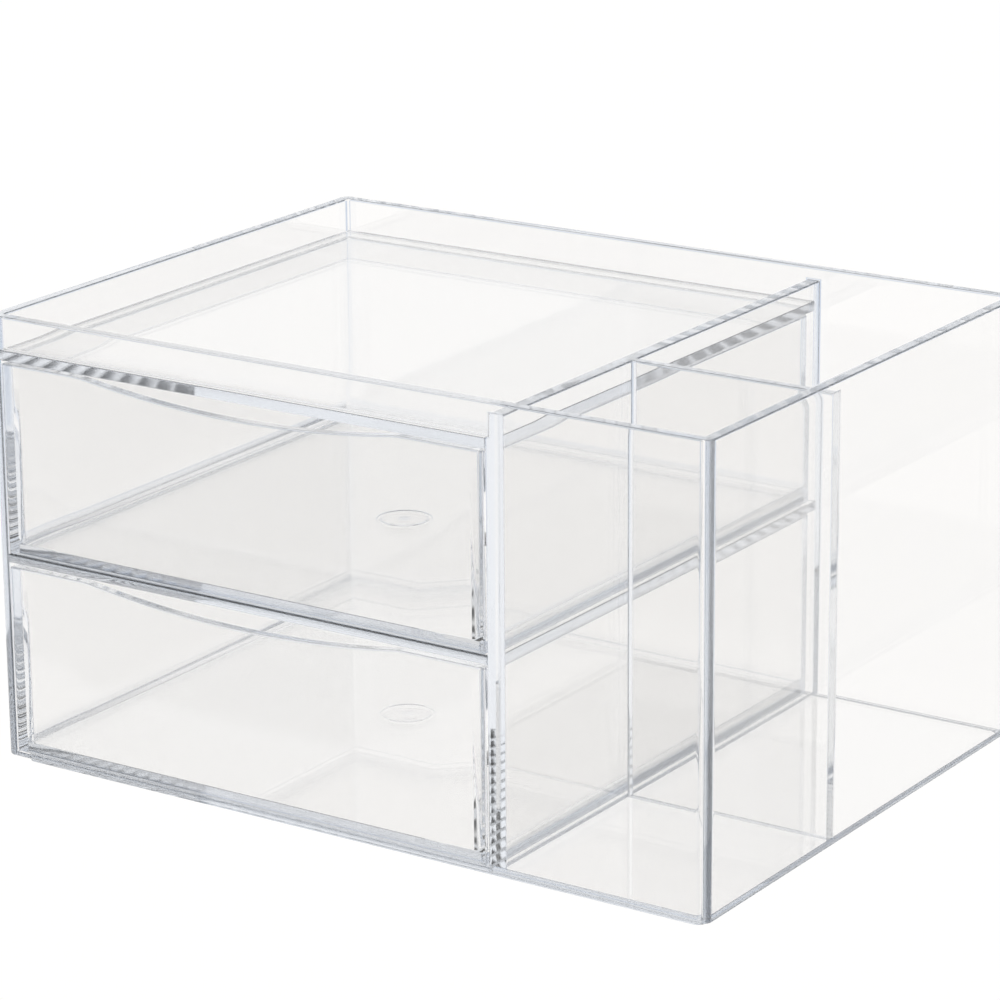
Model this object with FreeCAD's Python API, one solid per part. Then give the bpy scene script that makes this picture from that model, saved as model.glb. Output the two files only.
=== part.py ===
import FreeCAD, Part
import os

# Clear two-drawer vanity organizer with an open side bin.
# Millimetres. +Z up, +X to the right, the drawers open towards -Y.
# Origin: centre of the footprint, on the surface the organizer stands on.
# The organizer is an assembly of clear plates, butt-joined at their edges,
# with two loose drawers that slide on the floor plate and the middle shelf.

# ---------------------------------------------------------------- driving dimensions
WIDTH = 240.0            # overall, along X
DEPTH = 175.0            # overall, along Y
HEIGHT = 136.0           # overall, along Z

WALL = 3.6               # perimeter plates
PARTITION = 4.2          # plate between the drawers and the side bin
DIVIDER = 3.2            # cross plate inside the side bin
DECK = 3.0               # plate over the drawers, the bottom of the top tray
SHELF = 2.8              # plate between the two drawers

PLINTH = 2.5             # how far the floor plate stands below the walls
PLINTH_INSET = 4.0       # plinth edge to the outside of the walls
FLOOR_TOP = 3.8          # upper face of the floor plate
DECK_TOP = 126.0         # upper face of the deck: the tray is 10 mm deep
STACK_DROP = 3.7         # partition and divider stop this far below the rim

PARTITION_X0 = 50.8      # face of the partition on the drawers' side
DIVIDER_Y = -19.25       # middle of the bin's cross plate

CORNER_R = 3.4           # outer vertical corners
EDGE_R = 0.5             # polished upper edges

# drawers
SIDE_GAP = 0.8           # drawer to wall, each side
TOP_GAP = 0.8            # drawer to the plate above it
RUN_GAP = 0.4            # drawer to the plate it runs on
BACK_GAP = 2.0           # drawer to the back plate when pushed in
FRONT_T = 3.0            # drawer front
SIDE_T = 2.4             # drawer sides and back
DFLOOR_T = 2.8           # drawer floor
DCORNER_R = 2.2          # lower corners of the drawer front and sides
SCOOP_HALF = 54.5        # finger scoop in the upper edge of the front: half width
SCOOP_DEPTH = 4.2        # and depth at its middle
SCOOP_BLEND = 14.0       # radius that eases the scoop into the straight edge

# ---------------------------------------------------------------- derived
XL, XR = -WIDTH / 2, WIDTH / 2
YF, YB = -DEPTH / 2, DEPTH / 2
XLI, XRI = XL + WALL, XR - WALL
YFI, YBI = YF + WALL, YB - WALL
PARTITION_X1 = PARTITION_X0 + PARTITION
DECK_BOT = DECK_TOP - DECK
CAVITY = (DECK_BOT - FLOOR_TOP - SHELF) / 2
SHELF_BOT = FLOOR_TOP + CAVITY
SHELF_TOP = SHELF_BOT + SHELF
DRAWER_H = CAVITY - TOP_GAP - RUN_GAP
DX0 = XLI + SIDE_GAP
DX1 = PARTITION_X0 - SIDE_GAP
DY1 = YBI - BACK_GAP
V = FreeCAD.Vector


def box(x0, y0, z0, x1, y1, z1):
    return Part.makeBox(x1 - x0, y1 - y0, z1 - z0, V(x0, y0, z0))


def near(a, b, tol=1e-4):
    return abs(a - b) < tol


def along(edge, axis):
    b = edge.BoundBox
    ext = {"x": b.XLength, "y": b.YLength, "z": b.ZLength}
    return ext[axis] > 1.0 and all(v < 1e-4 for k, v in ext.items() if k != axis)


def round_edges(shape, radius, pick):
    edges = [e for e in shape.Edges if pick(e)]
    return shape.makeFillet(radius, edges) if edges else shape


def flat_at(edge, z):
    b = edge.BoundBox
    return near(b.ZMin, z) and near(b.ZMax, z)


def polish_top(shape, z):
    # every edge of the upper face at height z gets the small polished round
    return round_edges(shape, EDGE_R, lambda e: flat_at(e, z) and e.Length > 2.0)


os.makedirs("parts", exist_ok=True)
made = {}


def save(name, shape):
    shape = shape.removeSplitter()
    if shape.ShapeType == "Compound" and len(shape.Solids) == 1:
        shape = shape.Solids[0]
    if not shape.isValid():
        raise RuntimeError(name + " is not valid")
    made[name] = shape
    shape.exportStep("parts/" + name + ".step")


# ================================================================ housing
# Floor plate: fills the footprint between the walls. Its lower 2.5 mm is a plinth,
# set in from the walls so that it drops inside the rim of a unit underneath.
# In front of the lower drawer the upper step comes forward to the front plane.
floor = box(XLI, YFI, PLINTH, XRI, YBI, FLOOR_TOP)
floor = floor.fuse(box(XLI, YF, PLINTH, PARTITION_X0, YFI, FLOOR_TOP))
floor = floor.fuse(box(XL + PLINTH_INSET, YF + PLINTH_INSET, 0.0,
                       XR - PLINTH_INSET, YB - PLINTH_INSET, PLINTH))
floor = floor.removeSplitter()
floor = round_edges(floor, 3.0, lambda e: along(e, "z") and near(e.BoundBox.ZMin, 0.0))
floor = round_edges(floor, 0.5, lambda e: flat_at(e, 0.0))
save("base_plate", floor)


# Side plates run the full depth and carry the rounded outer corners.
def side_plate(x0, x1, outer):
    s = box(x0, YF, PLINTH, x1, YB, HEIGHT)
    s = round_edges(s, CORNER_R, lambda e: along(e, "z") and near(e.BoundBox.XMin, outer))
    return polish_top(s, HEIGHT)


save("left_side_plate", side_plate(XL, XLI, XL))
save("right_side_plate", side_plate(XRI, XR, XR))

# Back plate, one piece across the drawers and the bin.
back = box(XLI, YBI, PLINTH, XRI, YB, HEIGHT)
back = round_edges(back, EDGE_R, lambda e: along(e, "x") and flat_at(e, HEIGHT))
save("back_plate", back)

# Partition between the drawers and the bin. It stops below the rim, and is notched
# at the front so that the tray's front rail passes over it.
partition = box(PARTITION_X0, YF, PLINTH, PARTITION_X1, YBI, HEIGHT - STACK_DROP)
partition = partition.cut(box(PARTITION_X0 - 1, YF - 1, DECK_TOP,
                              PARTITION_X1 + 1, YFI, HEIGHT + 1))
# the floor plate's own solid passes under the partition
partition = partition.cut(box(XLI, YFI, 0, XRI, YBI, FLOOR_TOP))
partition = round_edges(partition, EDGE_R,
                        lambda e: along(e, "y") and flat_at(e, HEIGHT - STACK_DROP))
save("partition_plate", partition)

# Deck over the drawers: the floor of the shallow top tray. Its front edge is flush
# with the front plane.
deck = box(XLI, YF, DECK_BOT, PARTITION_X0, YBI, DECK_TOP)
save("deck_plate", deck)

# Middle shelf: the floor of the upper drawer's cavity.
shelf = box(XLI, YF, SHELF_BOT, PARTITION_X0, YBI, SHELF_TOP)
save("middle_shelf", shelf)

# Front rail: the tray's front lip. It stands on the deck and reaches over the
# notch of the partition to the bin's front plate.
rail = box(XLI, YF, DECK_TOP, PARTITION_X1, YFI, HEIGHT)
rail = round_edges(rail, EDGE_R, lambda e: along(e, "x") and flat_at(e, HEIGHT))
save("tray_front_rail", rail)

# Full-height front of the bin.
binf = box(PARTITION_X1, YF, PLINTH, XRI, YFI, HEIGHT)
binf = round_edges(binf, EDGE_R, lambda e: along(e, "x") and flat_at(e, HEIGHT))
save("bin_front_plate", binf)

# Cross plate that splits the bin into a front and a rear compartment.
divider = box(PARTITION_X1, DIVIDER_Y - DIVIDER / 2, FLOOR_TOP,
              XRI, DIVIDER_Y + DIVIDER / 2, HEIGHT - STACK_DROP)
divider = round_edges(divider, EDGE_R,
                      lambda e: along(e, "x") and flat_at(e, HEIGHT - STACK_DROP))
save("bin_divider_plate", divider)


# ================================================================ drawers
def front_profile(z0, z1):
    # outline of a drawer front in the XZ plane, with rounded lower corners and the
    # wide shallow finger scoop in the middle of the upper edge
    xc = (DX0 + DX1) / 2
    a, b = xc - SCOOP_HALF, xc + SCOOP_HALF
    r = DCORNER_R
    k = r * (1 - 0.5 ** 0.5)
    y = YF
    low = [
        Part.LineSegment(V(DX0, y, z1), V(DX0, y, z0 + r)).toShape(),
        Part.Arc(V(DX0, y, z0 + r), V(DX0 + k, y, z0 + k), V(DX0 + r, y, z0)).toShape(),
        Part.LineSegment(V(DX0 + r, y, z0), V(DX1 - r, y, z0)).toShape(),
        Part.Arc(V(DX1 - r, y, z0), V(DX1 - k, y, z0 + k), V(DX1, y, z0 + r)).toShape(),
        Part.LineSegment(V(DX1, y, z0 + r), V(DX1, y, z1)).toShape(),
    ]
    top = [
        Part.LineSegment(V(DX1, y, z1), V(b, y, z1)).toShape(),
        Part.Arc(V(b, y, z1), V(xc, y, z1 - SCOOP_DEPTH), V(a, y, z1)).toShape(),
        Part.LineSegment(V(a, y, z1), V(DX0, y, z1)).toShape(),
    ]
    return Part.Face(Part.Wire(low + top))


def drawer(prefix, z0):
    z1 = z0 + DRAWER_H
    xc = (DX0 + DX1) / 2
    front = front_profile(z0, z1).extrude(V(0, FRONT_T, 0))
    ends = (xc - SCOOP_HALF, xc + SCOOP_HALF)
    front = round_edges(front, SCOOP_BLEND,
                        lambda e: along(e, "y") and near(e.BoundBox.ZMin, z1)
                        and any(near(e.BoundBox.XMin, v) for v in ends))
    save(prefix + "_front", front)

    for side, xa, xb, outer in (("left", DX0, DX0 + SIDE_T, DX0),
                                ("right", DX1 - SIDE_T, DX1, DX1)):
        s = box(xa, YF + FRONT_T, z0, xb, DY1, z1)
        s = round_edges(s, DCORNER_R,
                        lambda e: along(e, "y") and flat_at(e, z0)
                        and near(e.BoundBox.XMin, outer))
        s = round_edges(s, 2.0,
                        lambda e: along(e, "z") and near(e.BoundBox.YMin, DY1)
                        and near(e.BoundBox.XMin, outer))
        save(prefix + "_" + side + "_side", s)

    save(prefix + "_back", box(DX0 + SIDE_T, DY1 - SIDE_T, z0, DX1 - SIDE_T, DY1, z1))
    save(prefix + "_floor", box(DX0 + SIDE_T, YF + FRONT_T, z0,
                                DX1 - SIDE_T, DY1 - SIDE_T, z0 + DFLOOR_T))


drawer("lower_drawer", FLOOR_TOP + RUN_GAP)
drawer("upper_drawer", SHELF_TOP + RUN_GAP)

for n, s in made.items():
    bb = s.BoundBox
    print("%-26s vol %9.1f  x %8.2f %8.2f  y %8.2f %8.2f  z %7.2f %7.2f"
          % (n, s.Volume, bb.XMin, bb.XMax, bb.YMin, bb.YMax, bb.ZMin, bb.ZMax))
print(len(made), "nodes; cavity", CAVITY, "drawer height", DRAWER_H,
      "shelf", SHELF_BOT, SHELF_TOP)
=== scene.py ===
import math

import bmesh
import bpy
from mathutils import Matrix, Vector


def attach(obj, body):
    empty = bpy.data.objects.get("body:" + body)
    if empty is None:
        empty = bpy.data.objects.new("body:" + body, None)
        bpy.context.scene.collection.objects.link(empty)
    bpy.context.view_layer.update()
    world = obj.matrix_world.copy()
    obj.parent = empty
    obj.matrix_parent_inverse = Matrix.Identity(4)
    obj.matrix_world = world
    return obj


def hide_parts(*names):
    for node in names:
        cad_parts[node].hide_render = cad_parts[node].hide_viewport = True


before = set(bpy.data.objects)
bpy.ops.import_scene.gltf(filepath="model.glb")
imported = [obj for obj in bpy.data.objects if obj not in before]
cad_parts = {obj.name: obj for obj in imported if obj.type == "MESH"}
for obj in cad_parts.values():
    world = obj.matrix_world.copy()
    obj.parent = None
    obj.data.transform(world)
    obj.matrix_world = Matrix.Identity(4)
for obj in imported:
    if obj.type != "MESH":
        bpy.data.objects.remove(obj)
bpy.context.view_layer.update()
scene = bpy.context.scene
MM = 0.001

# ---------------------------------------------------------------- sizes, millimetres
XL, XR, YF, YB, ZT = -120.0, 120.0, -87.5, 87.5, 136.0
WALL = 3.6
XLI, XRI, YFI, YBI = XL + WALL, XR - WALL, YF + WALL, YB - WALL
P0, P1 = 50.8, 55.0            # partition
DV0, DV1 = -20.85, -17.65      # bin divider
Z_LIP, Z_FLOOR = 2.5, 3.8
SH0, SH1 = 62.0, 64.8          # middle shelf
DK0, DK1 = 123.0, 126.0        # deck
Z_IN = 132.3                   # top of partition and divider
PL = 4.0                       # plinth inset
CORNER_R = 3.0
EDGE_R = 0.5
SEAM = 0.05                    # hairline between the let-in plates and the walls
DX0, DX1, DY1 = -115.6, 50.0, 81.9
D_FRONT, D_SIDE, D_FLOOR, D_H = 3.0, 2.4, 2.8, 57.0
XC = (DX0 + DX1) / 2
REAR_R = 2.1                   # upright rear corners of the drawers
FOOT = 2.9         # cove at the foot of a drawer's sides and back: reach
COVE_R = 2.5       # and radius
MARK_Y = -5.0                  # moulding mark in the middle of a drawer's bottom
SCOOP_HALF, SCOOP_DEPTH, SCOOP_BLEND = 54.5, 4.2, 14.0


# ---------------------------------------------------------------- mesh building
def lattice(adds, cuts=(), extra=((), (), ())):
    """A closed quad mesh, in millimetres, around the union of boxes less the cuts."""
    axes = []
    for k in range(3):
        vals = set(extra[k])
        for b in list(adds) + list(cuts):
            vals.add(b[k])
            vals.add(b[k + 3])
        lo = min(b[k] for b in adds)
        hi = max(b[k + 3] for b in adds)
        axes.append(sorted(v for v in vals if lo - 1e-6 <= v <= hi + 1e-6))
    xs, ys, zs = axes
    nx, ny, nz = len(xs) - 1, len(ys) - 1, len(zs) - 1
    solid = set()
    for i in range(nx):
        for j in range(ny):
            for k in range(nz):
                c = ((xs[i] + xs[i + 1]) / 2, (ys[j] + ys[j + 1]) / 2, (zs[k] + zs[k + 1]) / 2)
                inside = any(all(b[a] < c[a] < b[a + 3] for a in range(3)) for b in adds)
                if inside and any(all(b[a] < c[a] < b[a + 3] for a in range(3)) for b in cuts):
                    inside = False
                if inside:
                    solid.add((i, j, k))
    bm = bmesh.new()
    verts = {}

    def v(i, j, k):
        if (i, j, k) not in verts:
            verts[(i, j, k)] = bm.verts.new((xs[i], ys[j], zs[k]))
        return verts[(i, j, k)]

    for (i, j, k) in sorted(solid):
        if (i - 1, j, k) not in solid:
            bm.faces.new((v(i, j, k), v(i, j, k + 1), v(i, j + 1, k + 1), v(i, j + 1, k)))
        if (i + 1, j, k) not in solid:
            bm.faces.new((v(i + 1, j, k), v(i + 1, j + 1, k), v(i + 1, j + 1, k + 1), v(i + 1, j, k + 1)))
        if (i, j - 1, k) not in solid:
            bm.faces.new((v(i, j, k), v(i + 1, j, k), v(i + 1, j, k + 1), v(i, j, k + 1)))
        if (i, j + 1, k) not in solid:
            bm.faces.new((v(i, j + 1, k), v(i, j + 1, k + 1), v(i + 1, j + 1, k + 1), v(i + 1, j + 1, k)))
        if (i, j, k - 1) not in solid:
            bm.faces.new((v(i, j, k), v(i, j + 1, k), v(i + 1, j + 1, k), v(i + 1, j, k)))
        if (i, j, k + 1) not in solid:
            bm.faces.new((v(i, j, k + 1), v(i + 1, j, k + 1), v(i + 1, j + 1, k + 1), v(i, j + 1, k + 1)))
    bm.normal_update()
    return bm


def is_at(e, pts):
    """Edge e is vertical and stands at one of the (x, y) points."""
    a, b = e.verts[0].co, e.verts[1].co
    if abs(a.x - b.x) > 1e-5 or abs(a.y - b.y) > 1e-5:
        return False
    return any(abs(a.x - x) < 1e-4 and abs(a.y - y) < 1e-4 for x, y in pts)


def round_off(bm, edges, radius, segments):
    if edges:
        bmesh.ops.bevel(bm, geom=edges, offset=radius, offset_type="OFFSET", segments=segments,
                        profile=0.5, affect="EDGES", clamp_overlap=False, miter_outer="SHARP",
                        miter_inner="SHARP", loop_slide=True)
        bm.normal_update()


def sharp_edges(bm, least=0.45, skip=None):
    found = []
    for e in bm.edges:
        if len(e.link_faces) == 2 and e.calc_face_angle(0.0) > least:
            if skip is None or not skip(e):
                found.append(e)
    return found


def flat_patches(bm):
    """Faces grouped into the flats they make up together."""
    seen = set()
    for start in bm.faces:
        if start in seen:
            continue
        patch, todo = [], [start]
        seen.add(start)
        while todo:
            f = todo.pop()
            patch.append(f)
            for e in f.edges:
                for g in e.link_faces:
                    if g not in seen and g.normal.dot(start.normal) > 0.9999:
                        seen.add(g)
                        todo.append(g)
        yield patch


def to_object(bm, name, faces_of, edges_of):
    """Broad flats get the first material; ends and rounds narrower than 5 mm get the second."""
    bmesh.ops.remove_doubles(bm, verts=bm.verts[:], dist=0.003)
    bm.normal_update()
    for patch in flat_patches(bm):
        pts = [v.co for f in patch for v in f.verts]
        size = sorted(max(p[k] for p in pts) - min(p[k] for p in pts) for k in range(3))
        for f in patch:
            f.material_index = 1 if size[1] < 5.0 else 0
    bmesh.ops.scale(bm, vec=(MM, MM, MM), verts=bm.verts[:])
    me = bpy.data.meshes.new(name)
    bm.to_mesh(me)
    bm.free()
    for p in me.polygons:
        p.use_smooth = True
    ob = bpy.data.objects.new(name, me)
    scene.collection.objects.link(ob)
    me.materials.append(faces_of)
    me.materials.append(edges_of)
    wn = ob.modifiers.new("even_normals", "WEIGHTED_NORMAL")
    wn.mode = "FACE_AREA"
    wn.weight = 100
    wn.keep_sharp = False
    return ob


# ---------------------------------------------------------------- materials
def nodes_of(mat):
    mat.use_nodes = True
    nt = mat.node_tree
    for n in list(nt.nodes):
        nt.nodes.remove(n)
    return nt, nt.nodes, nt.links


def clear_plastic(name, ior, skin, tint, density, ripple, haze):
    """Moulded clear plastic: a slow sink and flow ripple, fine polish haze, a faint body tint."""
    mat = bpy.data.materials.new(name)
    nt, nodes, links = nodes_of(mat)
    out = nodes.new("ShaderNodeOutputMaterial")
    bsdf = nodes.new("ShaderNodeBsdfPrincipled")
    bsdf.inputs["Transmission Weight"].default_value = 1.0
    bsdf.inputs["IOR"].default_value = ior
    bsdf.inputs["Base Color"].default_value = (*skin, 1)
    bsdf.inputs["Roughness"].default_value = 0.0
    links.new(bsdf.outputs[0], out.inputs["Surface"])
    vol = nodes.new("ShaderNodeVolumeAbsorption")
    vol.inputs["Color"].default_value = (*tint, 1)
    vol.inputs["Density"].default_value = density
    links.new(vol.outputs[0], out.inputs["Volume"])
    co = nodes.new("ShaderNodeTexCoord")
    broad = nodes.new("ShaderNodeTexNoise")
    broad.inputs["Scale"].default_value = 34.0
    broad.inputs["Detail"].default_value = 1.5
    broad.inputs["Roughness"].default_value = 0.4
    links.new(co.outputs["Object"], broad.inputs["Vector"])
    bump = nodes.new("ShaderNodeBump")
    bump.inputs["Strength"].default_value = 1.0
    bump.inputs["Distance"].default_value = ripple
    links.new(broad.outputs[0], bump.inputs["Height"])
    links.new(bump.outputs[0], bsdf.inputs["Normal"])
    fine = nodes.new("ShaderNodeTexNoise")
    fine.inputs["Scale"].default_value = 160.0
    fine.inputs["Detail"].default_value = 4.0
    links.new(co.outputs["Object"], fine.inputs["Vector"])
    ramp = nodes.new("ShaderNodeMapRange")
    ramp.inputs["From Min"].default_value = 0.35
    ramp.inputs["From Max"].default_value = 0.75
    ramp.inputs["To Min"].default_value = haze[0]
    ramp.inputs["To Max"].default_value = haze[1]
    links.new(fine.outputs[0], ramp.inputs["Value"])
    links.new(ramp.outputs[0], bsdf.inputs["Roughness"])
    return mat


SKIN = (0.978, 0.976, 0.973)
BODY = (0.78, 0.83, 0.90)
mat_housing = clear_plastic("clear_housing", 1.585, SKIN, BODY, 4.0, 0.00002, (0.008, 0.026))
mat_housing_edge = clear_plastic("clear_housing_edge", 1.585, SKIN, BODY, 4.0, 0.00002, (0.050, 0.075))
mat_drawer = clear_plastic("clear_drawer", 1.585, SKIN, BODY, 4.0, 0.00002, (0.008, 0.026))
mat_drawer_edge = clear_plastic("clear_drawer_edge", 1.585, SKIN, BODY, 4.0, 0.00002, (0.050, 0.075))


# ---------------------------------------------------------------- housing
def build_housing():
    adds = [
        (XL, YF, Z_LIP, XLI, YB, ZT),                   # left wall
        (XRI, YF, Z_LIP, XR, YB, ZT),                   # right wall
        (XL, YBI, Z_LIP, XR, YB, ZT),                   # back wall
        (P0, YF, Z_LIP, P1, YFI, Z_IN),                 # partition, down past the floor in front
        (P0, YFI, Z_FLOOR + SEAM, P1, YBI, Z_IN),       # partition
        (XLI, YF, DK1 + SEAM, P1, YFI, ZT),             # tray front rail
        (P1, YF, Z_LIP, XRI, YFI, ZT),                  # bin front
        (P1, DV0, Z_FLOOR + SEAM, XRI, DV1, Z_IN),      # bin divider
    ]
    bm = lattice(adds)
    outer = [(XL, YF), (XR, YF), (XL, YB), (XR, YB)]
    round_off(bm, [e for e in bm.edges if is_at(e, outer)], CORNER_R, 10)
    round_off(bm, sharp_edges(bm), EDGE_R, 4)
    ob = to_object(bm, "housing_shell", mat_housing, mat_housing_edge)
    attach(ob, "housing")
    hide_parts("left_side_plate", "right_side_plate", "back_plate", "partition_plate",
                "tray_front_rail", "bin_front_plate", "bin_divider_plate")
    return ob


def let_in(name, node, adds, front, rest):
    """A plate let in between the walls with a hairline seam, with its front edges rounded by front."""
    bm = lattice(adds)
    plinth = [(XL + PL, YF + PL), (XR - PL, YF + PL), (XL + PL, YB - PL), (XR - PL, YB - PL)]
    round_off(bm, [e for e in bm.edges if is_at(e, plinth)
                   and min(v.co.z for v in e.verts) < 1e-4], 3.0, 6)
    nose = [e for e in bm.edges if all(abs(v.co.y - YF) < 1e-4 for v in e.verts)
            and abs(e.verts[0].co.z - e.verts[1].co.z) < 1e-4]
    if front:
        round_off(bm, nose, front, 6)
    at_lip = [e for e in bm.edges if all(abs(v.co.z - Z_LIP) < 1e-4 for v in e.verts)]
    round_off(bm, [e for e in sharp_edges(bm) if e not in at_lip], rest, 3)
    ob = to_object(bm, name, mat_housing, mat_housing_edge)
    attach(ob, "housing")
    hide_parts(node)
    return ob


def build_plates():
    let_in("deck_panel", "deck_plate",
           [(XLI + SEAM, YF, DK0, P0 - SEAM, YBI - SEAM, DK1)], 0, 0.25)
    let_in("shelf_panel", "middle_shelf",
           [(XLI + SEAM, YF, SH0, P0 - SEAM, YBI - SEAM, SH1)], 1.36, 0.25)
    let_in("base_panel", "base_plate",
           [(XLI + SEAM, YFI + SEAM, Z_LIP, XRI - SEAM, YBI - SEAM, Z_FLOOR),
            (XLI + SEAM, YF, Z_LIP, P0 - SEAM, YFI + SEAM, Z_FLOOR),
            (XL + PL, YF + PL, 0.0, XR - PL, YB - PL, Z_LIP)], 0.5, 0.12)


# ---------------------------------------------------------------- drawers
def scoop_drop(x):
    """How far the front's upper edge dips at x: one arc, eased into the straight edge."""
    d = abs(x - XC)
    r = (SCOOP_HALF ** 2 + SCOOP_DEPTH ** 2) / (2 * SCOOP_DEPTH)      # arc radius
    # the easing arc of radius SCOOP_BLEND lies below the straight edge and outside the scoop arc
    cz = r - SCOOP_DEPTH                                              # scoop centre above the edge
    h = math.sqrt((r + SCOOP_BLEND) ** 2 - (cz + SCOOP_BLEND) ** 2)   # easing centre, from the middle
    tx = h * r / (r + SCOOP_BLEND)                                    # where the arcs meet
    if d <= tx:
        return math.sqrt(max(0.0, r * r - d * d)) - cz
    if d < h:
        return SCOOP_BLEND - math.sqrt(max(0.0, SCOOP_BLEND ** 2 - (h - d) ** 2))
    return 0.0


def gate_mark(bm, cx, cy, z, half):
    """A shallow round moulding mark sunk in the floor face that spans the square round it."""
    square = [f for f in bm.faces if abs(f.calc_center_median().x - cx) < 0.01
              and abs(f.calc_center_median().y - cy) < 0.01
              and abs(f.calc_center_median().z - z) < 0.01][0]
    rim = [loop.vert for loop in square.loops]
    at = [i for i, v in enumerate(rim) if v.co.x > cx + half - 1e-3 and v.co.y > cy + half - 1e-3][0]
    rim = rim[at:] + rim[:at]                   # from the (+x, +y) corner, anticlockwise
    bmesh.ops.delete(bm, geom=[square], context="FACES_ONLY")
    n = 48
    rims = []
    for radius, drop in ((8.5, 0.0), (8.1, 0.14), (7.2, 0.14), (6.6, 0.0), (1.9, 0.0), (1.5, 0.10)):
        rims.append([bm.verts.new((cx + radius * math.cos(math.radians(45 + 360 * i / n)),
                                   cy + radius * math.sin(math.radians(45 + 360 * i / n)),
                                   z - drop)) for i in range(n)])
    quarter = n // 4
    turns = [i for i, v in enumerate(rim) if abs(abs(v.co.x - cx) - half) < 1e-3
             and abs(abs(v.co.y - cy) - half) < 1e-3] + [len(rim)]
    for q in range(4):
        edge = [rim[i % len(rim)] for i in range(turns[q], turns[q + 1] + 1)]
        arc = [rims[0][(q * quarter + i) % n] for i in range(quarter + 1)]
        bm.faces.new(edge + arc[::-1])
    for outer, inner in zip(rims, rims[1:]):
        for i in range(n):
            k = (i + 1) % n
            bm.faces.new((outer[i], outer[k], inner[k], inner[i]))
    bm.faces.new(rims[-1])
    bm.normal_update()


def scoop_lines():
    """The x positions where the scooped edge of a drawer front is divided."""
    r = (SCOOP_HALF ** 2 + SCOOP_DEPTH ** 2) / (2 * SCOOP_DEPTH)
    cz = r - SCOOP_DEPTH
    h = math.sqrt((r + SCOOP_BLEND) ** 2 - (cz + SCOOP_BLEND) ** 2)
    n = 44
    return [XC - h + 2 * h * i / n for i in range(n + 1)]


def build_drawer(body, z0):
    """Front, sides and back in one; the bottom is a plate let in between them."""
    z1 = z0 + D_H
    adds = [(DX0, YF, z0, DX1, DY1, z1)]
    # the sides and back swell into a cove over the rim of the bottom plate
    x0, x1, y1 = DX0 + D_SIDE, DX1 - D_SIDE, DY1 - D_SIDE
    foot0, foot1 = z0 + D_FLOOR + SEAM, z0 + D_FLOOR + SEAM + 0.25
    cuts = [(x0, YF + D_FRONT, z0 - 5, x1, y1, foot0),
            (x0 + FOOT, YF + D_FRONT, foot0, x1 - FOOT, y1 - FOOT, foot1),
            (x0, YF + D_FRONT, foot1, x1, y1, z1 + 5)]
    bm = lattice(adds, cuts, extra=(scoop_lines(), (), ()))
    loose = [e for e in bm.edges if e.calc_face_angle(9.0) < 0.01
             and any(abs(v.co.y - DY1) < 3.0 and min(abs(v.co.x - DX0), abs(v.co.x - DX1)) < 3.0
                     for v in e.verts)]
    bmesh.ops.dissolve_edges(bm, edges=loose, use_verts=True)
    bm.normal_update()
    rear = [e for e in bm.edges if is_at(e, [(DX0, DY1), (DX1, DY1)])]
    round_off(bm, rear, REAR_R, 10)
    cove = [e for e in bm.edges if all(abs(v.co.z - foot1) < 1e-3 for v in e.verts) and e.is_manifold
            and not e.is_convex and e.calc_face_angle(0.0) > 0.5
            and any(v.co.y > YF + D_FRONT + 1e-3 for v in e.verts)]
    round_off(bm, cove, COVE_R, 6)
    for v in bm.verts:
        if v.co.z > z1 - 1e-3 and v.co.y < YF + D_FRONT + 1e-3:
            v.co.z = z1 - scoop_drop(v.co.x)
    bm.normal_update()
    at_foot = [e for e in bm.edges
               if all(x0 - 1e-3 < v.co.x < x1 + 1e-3 and v.co.y < y1 + 1e-3 for v in e.verts)
               and (all(foot0 - 1e-3 < v.co.z < foot1 + 1e-3 for v in e.verts)
                    or all(foot0 - 1e-3 < v.co.z < foot1 + COVE_R + 1e-2
                           and abs(v.co.y - YF - D_FRONT) < 1e-3 for v in e.verts))]
    round_off(bm, [e for e in sharp_edges(bm) if e not in at_foot], EDGE_R, 4)
    ob = to_object(bm, body + "_tub", mat_drawer, mat_drawer_edge)
    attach(ob, body)
    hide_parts(body + "_front", body + "_left_side", body + "_right_side", body + "_back")

    x0, x1 = DX0 + D_SIDE + SEAM, DX1 - D_SIDE - SEAM
    y0, y1 = YF + D_FRONT + SEAM, DY1 - D_SIDE - SEAM
    half = 10.8
    bm = lattice([(x0, y0, z0, x1, y1, z0 + D_FLOOR)], (),
                 extra=((XC - half, XC + half), (MARK_Y - half, MARK_Y + half), ()))
    gate_mark(bm, XC, MARK_Y, z0 + D_FLOOR, half)
    round_off(bm, [e for e in bm.edges if is_at(e, [(x0, y1), (x1, y1)])], 0.5, 4)
    round_off(bm, sharp_edges(bm), 0.2, 3)
    ob = to_object(bm, body + "_bottom", mat_drawer, mat_drawer_edge)
    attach(ob, body)
    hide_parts(body + "_floor")


housing = build_housing()
build_plates()
build_drawer("lower_drawer", 4.2)
build_drawer("upper_drawer", 65.2)


# ---------------------------------------------------------------- floor, light, camera
# A plain white floor that glows evenly, like a light table, under a soft white sky. The sky is
# brightest where two large soft boxes would stand, to the left and the right of the camera, and
# dimmer between them and overhead. Nothing is painted on the floor or the sky.
def math_node(nt, op, *vals, clamp=False):
    n = nt.nodes.new("ShaderNodeMath")
    n.operation = op
    n.use_clamp = clamp
    for i, v in enumerate(vals):
        if isinstance(v, (int, float)):
            n.inputs[i].default_value = v
        else:
            nt.links.new(v, n.inputs[i])
    return n.outputs[0]


def smooth(nt, value, lo, hi):
    n = nt.nodes.new("ShaderNodeMapRange")
    n.interpolation_type = "SMOOTHSTEP"
    n.inputs["From Min"].default_value = lo
    n.inputs["From Max"].default_value = hi
    nt.links.new(value, n.inputs["Value"])
    return n.outputs[0]


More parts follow.
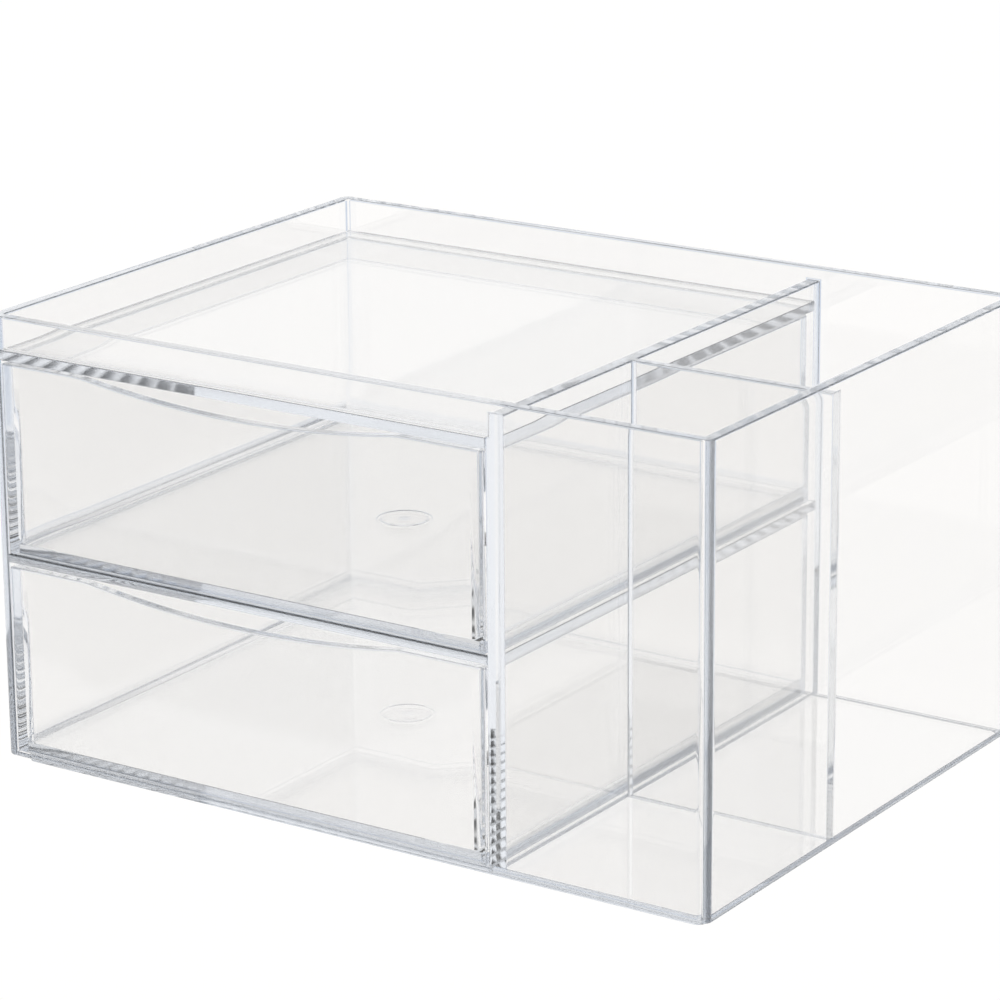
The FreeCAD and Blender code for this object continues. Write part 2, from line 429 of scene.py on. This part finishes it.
def build_floor():
    bm = bmesh.new()
    s = 6.0
    vs = [bm.verts.new((x, y, -0.0001)) for x, y in ((-s, -s), (s, -s), (s, s), (-s, s))]
    bm.faces.new(vs)
    me = bpy.data.meshes.new("floor")
    bm.to_mesh(me)
    bm.free()
    ob = bpy.data.objects.new("floor", me)
    scene.collection.objects.link(ob)
    mat = bpy.data.materials.new("floor_white")
    nt, nodes, links = nodes_of(mat)
    out = nodes.new("ShaderNodeOutputMaterial")
    e = nodes.new("ShaderNodeEmission")
    e.inputs["Color"].default_value = (1.018, 1.009, 1.0, 1)
    e.inputs["Strength"].default_value = 1.0
    links.new(e.outputs[0], out.inputs["Surface"])
    mat.cycles.emission_sampling = "NONE"
    me.materials.append(mat)
    return ob


floor = build_floor()
BOXES_AT = 123.8                   # heading of the soft boxes, one each way; 0 is +Y, 90 is +X
BETWEEN = 0.03                     # brightness of the sky between them


def build_world():
    world = bpy.data.worlds.new("studio")
    scene.world = world
    world.use_nodes = True
    nt = world.node_tree
    for n in list(nt.nodes):
        nt.nodes.remove(n)
    out = nt.nodes.new("ShaderNodeOutputWorld")
    sep = nt.nodes.new("ShaderNodeSeparateXYZ")
    nt.links.new(nt.nodes.new("ShaderNodeTexCoord").outputs["Generated"], sep.inputs[0])
    x, y, up = sep.outputs[0], sep.outputs[1], sep.outputs[2]
    a = math.radians(BOXES_AT)
    # across is 1 towards either soft box and 0 half way between them
    across = math_node(nt, "ABSOLUTE", math_node(nt, "ADD", math_node(nt, "MULTIPLY", x, math.sin(a)),
                                                 math_node(nt, "MULTIPLY", y, math.cos(a))))
    level = math_node(nt, "SQRT", math_node(nt, "ADD", math_node(nt, "MULTIPLY", x, x),
                                            math_node(nt, "MULTIPLY", y, y)))
    across = math_node(nt, "DIVIDE", across, math_node(nt, "MAXIMUM", level, 1e-6))
    side = nt.nodes.new("ShaderNodeMapRange")
    side.interpolation_type = "SMOOTHSTEP"
    side.inputs["From Min"].default_value = 0.25
    side.inputs["From Max"].default_value = 0.92
    side.inputs["To Min"].default_value = BETWEEN
    side.inputs["To Max"].default_value = 1.0
    nt.links.new(across, side.inputs["Value"])
    # the soft boxes end higher up, where the sky is even
    sky = nt.nodes.new("ShaderNodeMix")
    sky.data_type = "FLOAT"
    nt.links.new(smooth(nt, up, 0.45, 0.85), sky.inputs["Factor"])
    nt.links.new(side.outputs[0], sky.inputs[2])
    sky.inputs[3].default_value = 0.8
    colour = nt.nodes.new("ShaderNodeCombineColor")
    for i in range(3):
        nt.links.new(sky.outputs[0], colour.inputs[i])
    bg = nt.nodes.new("ShaderNodeBackground")
    nt.links.new(colour.outputs[0], bg.inputs["Color"])
    bg.inputs["Strength"].default_value = 1.0
    nt.links.new(bg.outputs[0], out.inputs["Surface"])


build_world()

AZ, EL, ROLL = math.radians(33.828), math.radians(17.269), math.radians(-0.484)
FOCAL = 4206.02                    # pixels in a 1000-pixel frame
SHIFT_R, SHIFT_U, DIST = -2.713, 9.042, 1224.301
back = Vector((math.sin(AZ) * math.cos(EL), -math.cos(AZ) * math.cos(EL), math.sin(EL)))
right0 = Vector((math.cos(AZ), math.sin(AZ), 0.0))
up0 = back.cross(right0)
right = right0 * math.cos(ROLL) + up0 * math.sin(ROLL)
up = up0 * math.cos(ROLL) - right0 * math.sin(ROLL)
cam_data = bpy.data.cameras.new("camera")
cam = bpy.data.objects.new("camera", cam_data)
scene.collection.objects.link(cam)
place = Vector((0, 0, 68.0)) + right * SHIFT_R + up * SHIFT_U + back * DIST
m = Matrix((right, up, back)).transposed().to_4x4()
m.translation = place * MM
cam.matrix_world = m
cam_data.sensor_width = 36.0
cam_data.lens = FOCAL / 1000 * 36.0
cam_data.clip_start = 0.05
cam_data.clip_end = 50.0
cam_data.dof.use_dof = False
scene.camera = cam

scene.view_settings.view_transform = "Standard"
scene.view_settings.look = "None"
scene.cycles.max_bounces = 90
scene.cycles.diffuse_bounces = 3
scene.cycles.glossy_bounces = 90
scene.cycles.transmission_bounces = 90
scene.cycles.transparent_max_bounces = 32
scene.cycles.volume_bounces = 0
scene.cycles.caustics_reflective = True
scene.cycles.caustics_refractive = True
scene.cycles.sample_clamp_indirect = 6.0
scene.cycles.blur_glossy = 0.0
scene.cycles.use_denoising = True
